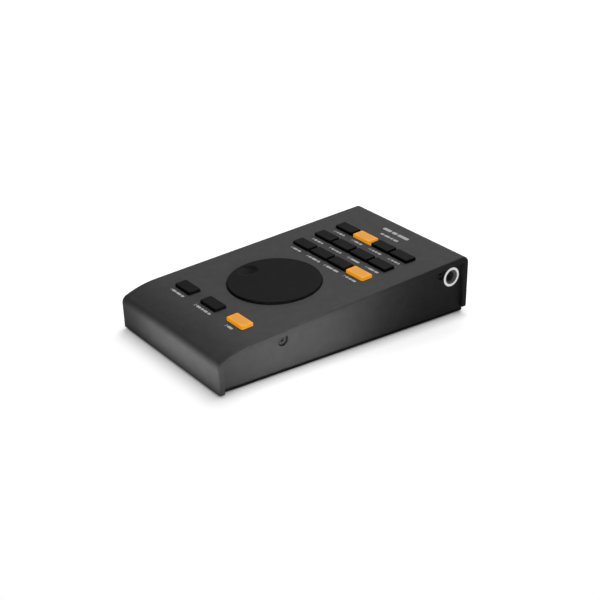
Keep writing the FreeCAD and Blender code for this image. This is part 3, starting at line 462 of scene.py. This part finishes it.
def seen_rays(tree: bpy.types.NodeTree) -> bpy.types.NodeSocket:
    """Add a test for the rays that show the white surroundings.

    Args:
        tree: the node tree of a material or of the world.

    Returns:
        The socket that is 1 for the camera's rays, reflections and rays through clear pieces.
    """
    path = tree.nodes.new("ShaderNodeLightPath")
    level = path.outputs["Is Camera Ray"]
    for name in ("Is Glossy Ray", "Is Transmission Ray"):
        either = tree.nodes.new("ShaderNodeMath")
        either.operation = "MAXIMUM"
        tree.links.new(level, either.inputs[0])
        tree.links.new(path.outputs[name], either.inputs[1])
        level = either.outputs["Value"]
    return level


def dress(material: bpy.types.Material, *nodes: str) -> None:
    """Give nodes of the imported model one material.

    Args:
        material: their new material.
        nodes: the nodes' names.
    """
    for node in nodes:
        for slot in frame["nodes"][node].material_slots:
            slot.material = material
        log.info("dressed %s with %s", node, material.name)


@dataclass
class Deck:
    """Sloping top of the housing, as a plane to set marks on."""

    origin: Vector = field(init=False)
    normal: Vector = field(init=False)
    slope: Vector = field(init=False)

    def __post_init__(self) -> None:
        """Read the plane from the wheel's axis."""
        turn = next(joint for joint in frame["joints"] if joint["name"] == "wheel_turn")
        self.origin = Vector(turn["pos_m"])
        self.normal = Vector(turn["axis"]).normalized()
        self.slope = self.normal.cross(Vector((1.0, 0.0, 0.0))).normalized()

    def point(self, across: float, along: float, above: float) -> Vector:
        """Point of the deck.

        Args:
            across: distance to the right of the middle.
            along: distance behind the wheel's axis, up the slope.
            above: height over the deck's surface.

        Returns:
            The point in the model's frame.
        """
        side = Vector((across, 0.0, 0.0))
        return self.origin + side + self.slope * along + self.normal * above

    def place(self, point: Vector) -> tuple[float, float]:
        """Across and along of a point of the model's frame."""
        offset = point - self.origin
        return offset.x, offset.dot(self.slope)


@dataclass
class Housing:
    """Bent cover, cheeks, base, feet and their screws."""

    screw_roughness: float = 0.45
    rubber_roughness: float = 0.75
    rubber_grain: float = 0.4 * MM
    rubber_depth: float = 0.02 * MM

    def dress(self) -> None:
        """Finish the housing's pieces."""
        dress(PowderCoat("cover_coat", Shade.COVER.value).material(), "top_cover")
        cheek = PowderCoat("cheek_coat", Shade.CHEEK.value)
        dress(cheek.material(), "left_cheek", "right_cheek")
        dress(PowderCoat("base_coat", Shade.BASE.value).material(), "base_plate")
        rubber = MouldedPlastic(
            "foot_rubber", Shade.FOOT.value, self.rubber_roughness,
            grain=self.rubber_grain, depth=self.rubber_depth,
        )
        dress(rubber.material(), "rubber_feet")
        coat = PowderCoat("screw_coat", Shade.CHEEK_SCREW.value, self.screw_roughness)
        dress(coat.material(), "cheek_screws")
        black = Metal("blackened_steel", Shade.BASE_SCREW.value, self.screw_roughness)
        dress(black.material(), "base_screws")


@dataclass
class Wheel:
    """Control wheel with its bush, and the encoder below."""

    roughness: float = 0.5
    specular: float = 0.012

    def dress(self) -> None:
        """Finish the wheel's pieces."""
        satin = MouldedPlastic(
            "wheel_satin", Shade.WHEEL.value, self.roughness, specular=self.specular
        )
        dress(satin.material(), "control_wheel")
        dress(Metal("turned_brass", Shade.BUSH.value).material(), "wheel_bush")
        dress(Metal("turned_steel", Shade.SHAFT.value).material(), "encoder_shaft")
        white = MouldedPlastic("white_nylon", Shade.ACTUATOR.value)
        dress(white.material(), "encoder_push_actuator")
        black = MouldedPlastic("encoder_black", Shade.ENCODER.value)
        dress(black.material(), "encoder_housing")


@dataclass
class Keys:
    """Caps, stems, lights and switches, and the frame between the caps."""

    lit: tuple[str, ...] = ("front_3", "row1_4", "row3_2")
    specular: float = 0.012
    frame_roughness: float = 0.6
    light_roughness: float = 0.2

    def names(self) -> list[str]:
        """Names of the keys, front row first."""
        return sorted(node[len(CAP):] for node in frame["nodes"] if node.startswith(CAP))

    def lit_cap(self, name: str) -> bpy.types.Material:
        """Make the resin of a lit key.

        Args:
            name: the key's name.

        Returns:
            Its material.
        """
        low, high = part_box(CAP + name)
        half = (high - low) / 2
        return LitResin("lit_" + name, (low + high) / 2, half.x, half.y).material()

    def dress(self) -> None:
        """Finish the keys' pieces."""
        black = MouldedPlastic("key_satin", Shade.KEY.value, specular=self.specular).material()
        natural = MouldedPlastic("stem_natural", Shade.KEY_STEM.value).material()
        for name in self.names():
            dress(self.lit_cap(name) if name in self.lit else black, CAP + name)
            dress(natural, STEM + name)
        web = MouldedPlastic("frame_black", Shade.KEY_FRAME.value, self.frame_roughness)
        dress(web.material(), "key_frame")
        switch = MouldedPlastic("switch_black", Shade.KEY_SWITCH.value)
        dress(switch.material(), "switch_housings")
        light = MouldedPlastic("led_resin", Shade.KEY_LIGHT.value, self.light_roughness)
        dress(light.material(), "key_leds")


@dataclass
class Electronics:
    """Boards, their spacers and the parts on them."""

    gloss: float = 0.3
    satin: float = 0.5
    plating_roughness: float = 0.25
    cable_roughness: float = 0.4
    jack_roughness: float = 0.35

    def dress(self) -> None:
        """Finish the boards' pieces."""
        mask = MouldedPlastic("solder_mask", Shade.BOARD.value, self.gloss)
        dress(mask.material(), "main_board", "io_board")
        brass = Metal("spacer_brass", Shade.SPACER.value)
        dress(brass.material(), "board_standoffs", "io_standoffs")
        dress(Metal("zinc_steel", Shade.BOARD_SCREW.value).material(), "board_screws")
        dress(MouldedPlastic("chip_black", Shade.CHIP.value, self.satin).material(), "board_chips")
        film = MouldedPlastic("cable_film", Shade.FLAT_CABLE.value, self.cable_roughness)
        dress(film.material(), "flat_cable")
        cream = MouldedPlastic("connector_cream", Shade.CONNECTOR.value)
        dress(cream.material(), "cable_connectors")
        gilt = Metal("gilt", Shade.CONTACT.value, self.plating_roughness)
        dress(gilt.material(), "usb_contacts", "jack_contacts")
        dress(MouldedPlastic("lead_jacket", Shade.LEAD.value, self.satin).material(), "jack_leads")
        plated = Metal("plated_steel", Shade.USB_SHELL.value, self.plating_roughness)
        dress(plated.material(), "usb_socket_shell")
        dress(MouldedPlastic("usb_white", Shade.USB_CORE.value).material(), "usb_socket_core")
        dark = MouldedPlastic("jack_black", Shade.JACK.value, self.jack_roughness)
        dress(dark.material(), "jack_body")
        # the ring's white glows with painted light and has painted shade at its inner and outer
        # rims
        ring = RingPlastic("ring_white", middle_of("jack_nut"), Shade.RING.value)
        dress(ring.material(), "jack_nut")


@dataclass(frozen=True)
class Label:
    """One line of print: a plain number, if it has one, and then a few plain bars.

    Attributes:
        across: its middle, to the right of the deck's middle.
        along: its middle, behind the wheel's axis.
        length: its length across.
        height: its height up the slope.
        bars: the bars' shares of its length.
        number: its number.
    """

    across: float
    along: float
    length: float
    height: float
    bars: tuple[float, ...]
    number: str = ""


@dataclass
class Print:
    """Printed marks on the deck, as a thin layer of ink."""

    deck: Deck
    ink: float = 0.04 * MM
    height: float = 2.1 * MM
    key_to_line: float = 8.1 * MM
    to_the_right: float = 0.3 * MM
    bar_share: float = 0.8
    gap_share: float = 0.35
    number_gap_share: float = 0.45
    figure_share: float = 0.69
    corner_share: float = 0.3
    corner_steps: int = 4
    lengths: tuple[float, ...] = (
        14.5 * MM, 17.0 * MM, 7.0 * MM,
        10.0 * MM, 13.5 * MM, 14.0 * MM, 12.0 * MM,
        11.0 * MM, 12.0 * MM, 12.0 * MM, 12.5 * MM,
        11.5 * MM, 11.0 * MM, 12.5 * MM, 11.5 * MM,
    )
    patterns: tuple[tuple[float, ...], ...] = (
        (3.0, 4.0, 2.0), (4.0, 2.0, 3.5, 2.5), (2.0,), (3.0, 2.0),
        (2.0, 4.0, 2.0), (4.0, 3.0), (2.0, 2.0, 3.0),
    )
    rear_lines: tuple[Label, ...] = (
        Label(-1.0 * MM, 101.4 * MM, 24.7 * MM, 3.4 * MM, (7.0, 4.0, 9.0)),
        Label(0.1 * MM, 94.6 * MM, 17.0 * MM, 2.4 * MM, (3.0, 5.0, 2.0, 4.0)),
    )

    def key_lines(self) -> list[Label]:
        """Lay out the lines in front of the keys, one for each.

        Returns:
            The lines.
        """
        labels = []
        for i, (key, length) in enumerate(zip(Keys().names(), self.lengths)):
            across, along = self.deck.place(middle_of(CAP + key))
            place = (across + self.to_the_right, along - self.key_to_line)
            bars = self.patterns[i % len(self.patterns)]
            labels.append(Label(*place, length, self.height, bars, str(i + 1)))
        return labels

    def bar(
        self, mesh: bmesh.types.BMesh, across: float, along: float, width: float, height: float
    ) -> None:
        """Add one bar with round corners.

        Args:
            mesh: where it goes.
            across: its left end.
            along: its middle.
            width: its length across.
            height: its height up the slope.
        """
        radius = self.corner_share * min(width, height)
        outline = []
        for corner, (x, y) in enumerate(((1, 1), (-1, 1), (-1, -1), (1, -1))):
            for step in range(self.corner_steps + 1):
                angle = math.radians(90 * (corner + step / self.corner_steps))
                outline.append((
                    across + width / 2 + x * (width / 2 - radius) + radius * math.cos(angle),
                    along + y * (height / 2 - radius) + radius * math.sin(angle),
                ))
        low = [mesh.verts.new(self.deck.point(x, y, -self.ink / 2)) for x, y in outline]
        high = [mesh.verts.new(self.deck.point(x, y, self.ink)) for x, y in outline]
        mesh.faces.new(high)
        mesh.faces.new(reversed(low))
        for i in range(len(outline)):
            j = (i + 1) % len(outline)
            mesh.faces.new((low[i], low[j], high[j], high[i]))

    def figures(self, mesh: bmesh.types.BMesh, label: Label, left: float) -> float:
        """Add a label's number.

        Args:
            mesh: where it goes.
            label: the label.
            left: its left end, across.

        Returns:
            Its width.
        """
        curve = bpy.data.curves.new("digits", "FONT")
        curve.body = label.number
        curve.size = label.height / self.figure_share
        curve.extrude = self.ink / 2
        curve.resolution_u = 4
        source = bpy.data.objects.new("digits", curve)
        flat = source.to_mesh()
        width = max(v.co.x for v in flat.vertices)
        foot = label.along - label.height / 2
        made = []
        for vertex in flat.vertices:
            x, y, z = vertex.co
            made.append(mesh.verts.new(self.deck.point(left + x, foot + y, z + self.ink / 2)))
        for face in flat.polygons:
            mesh.faces.new([made[i] for i in face.vertices])
        source.to_mesh_clear()
        bpy.data.objects.remove(source)
        return width

    def line(self, mesh: bmesh.types.BMesh, label: Label) -> None:
        """Add one line of print.

        Args:
            mesh: where it goes.
            label: the line.
        """
        left = label.across - label.length / 2
        room = label.length
        if label.number:
            used = self.figures(mesh, label, left) + self.number_gap_share * label.height
            left += used
            room -= used
        gap = self.gap_share * label.height
        unit = (room - gap * (len(label.bars) - 1)) / sum(label.bars)
        for share in label.bars:
            self.bar(mesh, left, label.along, share * unit, self.bar_share * label.height)
            left += share * unit + gap

    def layer(self, name: str, labels: list[Label], material: bpy.types.Material) -> None:
        """Build one layer of print.

        Args:
            name: the piece's name.
            labels: its lines.
            material: its ink.
        """
        mesh = bmesh.new()
        for label in labels:
            self.line(mesh, label)
        data = bpy.data.meshes.new(name)
        mesh.to_mesh(data)
        mesh.free()
        data.materials.append(material)
        piece = bpy.data.objects.new(name, data)
        bpy.context.scene.collection.objects.link(piece)
        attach(piece, HOUSING)
        log.info("built %s", name)

    def build(self) -> None:
        """Print the deck."""
        ink = PrintInk("white_ink", Shade.INK.value).material()
        self.layer("print_key_labels", self.key_lines(), ink)
        self.layer("print_rear_lines", list(self.rear_lines), ink)


@dataclass(frozen=True)
class Lamp:
    """Soft lamp that the camera doesn't show.

    Attributes:
        name: its name.
        place: its middle.
        aim: the point that it faces.
        width: its width.
        power: its power, in watts.
        depth: its other side, or 0 for a square.
        shine: whether reflections show it.
        spread: how wide it throws its light, in degrees.
        lights: whether it lights matt surfaces.
    """

    name: str
    place: Triple
    aim: Triple
    width: float
    power: float
    depth: float = 0.0
    shine: bool = False
    spread: float = 180.0
    lights: bool = True


def bounce(
    name: str, across: float, along: float, width: float, power: float, depth: float = 0.0
) -> Lamp:
    """Light that a patch of the floor sends up, as a lamp that lies on it.

    Args:
        name: the lamp's name.
        across: its place along X.
        along: its place along Y.
        width: its width.
        power: its power, in watts.
        depth: its other side, or 0 for a square.

    Returns:
        The lamp.
    """
    return Lamp(name, (across, along, 1.0 * MM), (across, along, 1.0), width, power, depth)


MIDDLE = (0.0, 0.0, 0.02)
CHEEK_FRONT = (0.051, -0.045, 0.018)
HIGH_LEFT = (-0.62, 0.5, 1.1)
LAMPS = (
    Lamp("rear_soft", (-0.2, 0.8, 1.2), MIDDLE, 0.8, 7.6, shine=True),
    Lamp("rear_low_soft", (-0.5, 1.1, 0.8), MIDDLE, 0.8, 3.6, shine=True),
    Lamp("left_soft", HIGH_LEFT, MIDDLE, 0.5, 6.6),
    Lamp("left_gleam", HIGH_LEFT, MIDDLE, 0.16, 9.0, shine=True, lights=False),
    Lamp("right_soft", (0.5, -0.12, 0.12), CHEEK_FRONT, 0.06, 0.028, spread=20.0),
    Lamp("right_high_soft", (0.5, -0.12, 0.30), CHEEK_FRONT, 0.1, 0.02, spread=30.0),
    bounce("near_front_bounce", 0.02, -0.131, 0.10, 0.135, 0.036),
    bounce("front_bounce", 0.05, -0.205, 0.2, 0.05),
    bounce("near_right_bounce", 0.09, -0.035, 0.05, 0.031, 0.10),
    bounce("right_bounce", 0.16, -0.1, 0.2, 0.13),
)


@dataclass
class Studio:
    """Floor, lamps, world and camera.

    Attributes:
        eye: the camera's place.
        azimuth: how far it looks to the left of +Y, in degrees.
        pitch: how far it looks down, in degrees.
        roll: how far it leans to the left, in degrees.
        focal_px: its focal length, in pixels of the image.
        image_px: the image's width, in pixels.
        sensor: its sensor's width, in millimetres.
        near: the nearest distance that it shows.
        far: the farthest distance that it shows.
        floor_half: half of the floor's width.
        floor_bounce: the floor's colour for light on the object.
        floor_seen: the floor's lit colour, as it is seen.
        floor_glow: the level that the seen floor adds, with a painted shadow where the object
            closes it in.
        floor_reach: how far away a surface still closes the floor in and darkens it with the
            painted shadow.
        world_level: level of the even light from all round.
    """

    eye: Vector = field(default_factory=lambda: Vector((0.576983, -0.447042, 0.370737)))
    azimuth: float = 52.139
    pitch: float = 26.008
    roll: float = 1.329
    focal_px: float = 1267.08
    image_px: float = 600.0
    sensor: float = 36.0
    near: float = 0.01
    far: float = 20.0
    floor_half: float = 4.0
    floor_bounce: float = 0.4
    floor_seen: float = 0.45
    floor_glow: float = 0.80
    floor_reach: float = 10.0 * MM
    world_level: float = 0.02

    def camera(self) -> None:
        """Stand the camera where the photograph was taken."""
        yaw, pitch, roll = (math.radians(a) for a in (self.azimuth, self.pitch, self.roll))
        forward = Vector((
            -math.sin(yaw) * math.cos(pitch), math.cos(yaw) * math.cos(pitch), -math.sin(pitch)
        ))
        level = Vector((math.cos(yaw), math.sin(yaw), 0.0))
        upright = level.cross(forward)
        right = level * math.cos(roll) + upright * math.sin(roll)
        up = upright * math.cos(roll) - level * math.sin(roll)
        data = bpy.data.cameras.new("camera")
        data.sensor_width = self.sensor
        data.lens = self.focal_px / self.image_px * data.sensor_width
        data.clip_start = self.near
        data.clip_end = self.far
        camera = bpy.data.objects.new("camera", data)
        turn = Matrix((right, up, -forward)).transposed().to_4x4()
        camera.matrix_world = Matrix.Translation(self.eye) @ turn
        bpy.context.scene.collection.objects.link(camera)
        bpy.context.scene.camera = camera

    def floor_white(self) -> bpy.types.Material:
        """Make the floor's paint: plain for light on the object, near white where it is seen, with
        a painted shadow near the object.

        Returns:
            The material.
        """
        graph = Graph("floor_white")
        plain = graph.add("BsdfDiffuse")
        plain.inputs["Color"].default_value = (*grey(self.floor_bounce), 1.0)
        seen = graph.surface(grey(self.floor_seen), 0.8, Specular_IOR_Level=0.0)
        shades = [(0.3, grey(0.98 * self.floor_seen)), (0.7, grey(self.floor_seen))]
        speckle = graph.ramp(graph.noise(40.0 * MM, 3.0), shades)
        graph.join(speckle, seen.inputs["Base Color"])
        # painted shadow: ambient occlusion darkens the seen floor's glow near the object
        painted_floor_shadow = graph.add("AmbientOcclusion", samples=16)
        painted_floor_shadow.inputs["Distance"].default_value = self.floor_reach
        glow = graph.add("Emission", strength=self.floor_glow)
        graph.join(painted_floor_shadow.outputs["Color"], glow.inputs["Color"])
        both = graph.add("AddShader")
        graph.join(seen.outputs["BSDF"], both.inputs[0])
        graph.join(glow.outputs["Emission"], both.inputs[1])
        pick = graph.add("MixShader")
        graph.join(seen_rays(graph.tree), pick.inputs["Fac"])
        graph.join(plain.outputs["BSDF"], pick.inputs[1])
        graph.join(both.outputs["Shader"], pick.inputs[2])
        graph.join(pick.outputs["Shader"], graph.output.inputs["Surface"])
        return graph.material

    def floor(self) -> None:
        """Lay a large pale floor."""
        mesh = bpy.data.meshes.new("floor")
        half = self.floor_half
        corners = [(x * half, y * half, 0.0) for x, y in ((-1, -1), (1, -1), (1, 1), (-1, 1))]
        mesh.from_pydata(corners, [], [(0, 1, 2, 3)])
        mesh.materials.append(self.floor_white())
        floor = bpy.data.objects.new("floor", mesh)
        bpy.context.scene.collection.objects.link(floor)

    def world(self) -> None:
        """Light evenly from all round, and show white behind the object."""
        world = bpy.data.worlds.new("studio")
        world.use_nodes = True
        bpy.context.scene.world = world
        tree = world.node_tree
        tree.nodes.clear()
        mix = tree.nodes.new("ShaderNodeMixShader")
        tree.links.new(seen_rays(tree), mix.inputs["Fac"])
        for socket, strength in ((mix.inputs[1], self.world_level), (mix.inputs[2], 1.0)):
            background = tree.nodes.new("ShaderNodeBackground")
            background.inputs["Color"].default_value = (1.0, 1.0, 1.0, 1.0)
            background.inputs["Strength"].default_value = strength
            tree.links.new(background.outputs["Background"], socket)
        output = tree.nodes.new("ShaderNodeOutputWorld")
        tree.links.new(mix.outputs["Shader"], output.inputs["Surface"])

    def hang(self, lamp: Lamp) -> None:
        """Hang one lamp.

        Args:
            lamp: the lamp.
        """
        data = bpy.data.lights.new(lamp.name, "AREA")
        data.shape = "RECTANGLE"
        data.size = lamp.width
        data.size_y = lamp.depth or lamp.width
        data.energy = lamp.power
        data.spread = math.radians(lamp.spread)
        piece = bpy.data.objects.new(lamp.name, data)
        place = Vector(lamp.place)
        piece.location = place
        piece.rotation_mode = "QUATERNION"
        piece.rotation_quaternion = (Vector(lamp.aim) - place).to_track_quat("-Z", "Y")
        piece.visible_camera = False
        piece.visible_glossy = lamp.shine
        piece.visible_diffuse = lamp.lights
        bpy.context.scene.collection.objects.link(piece)

    def build(self) -> None:
        """Set up the studio."""
        self.camera()
        self.floor()
        self.world()
        for lamp in LAMPS:
            self.hang(lamp)
        bpy.context.scene.view_settings.view_transform = "Standard"
        log.info("studio ready")


def main() -> None:
    """Dress the model, print the deck and set up the studio."""
    logging.basicConfig(level=logging.INFO)
    Housing().dress()
    Wheel().dress()
    Keys().dress()
    Electronics().dress()
    Print(Deck()).build()
    Studio().build()


if __name__ == "__main__":
    main()
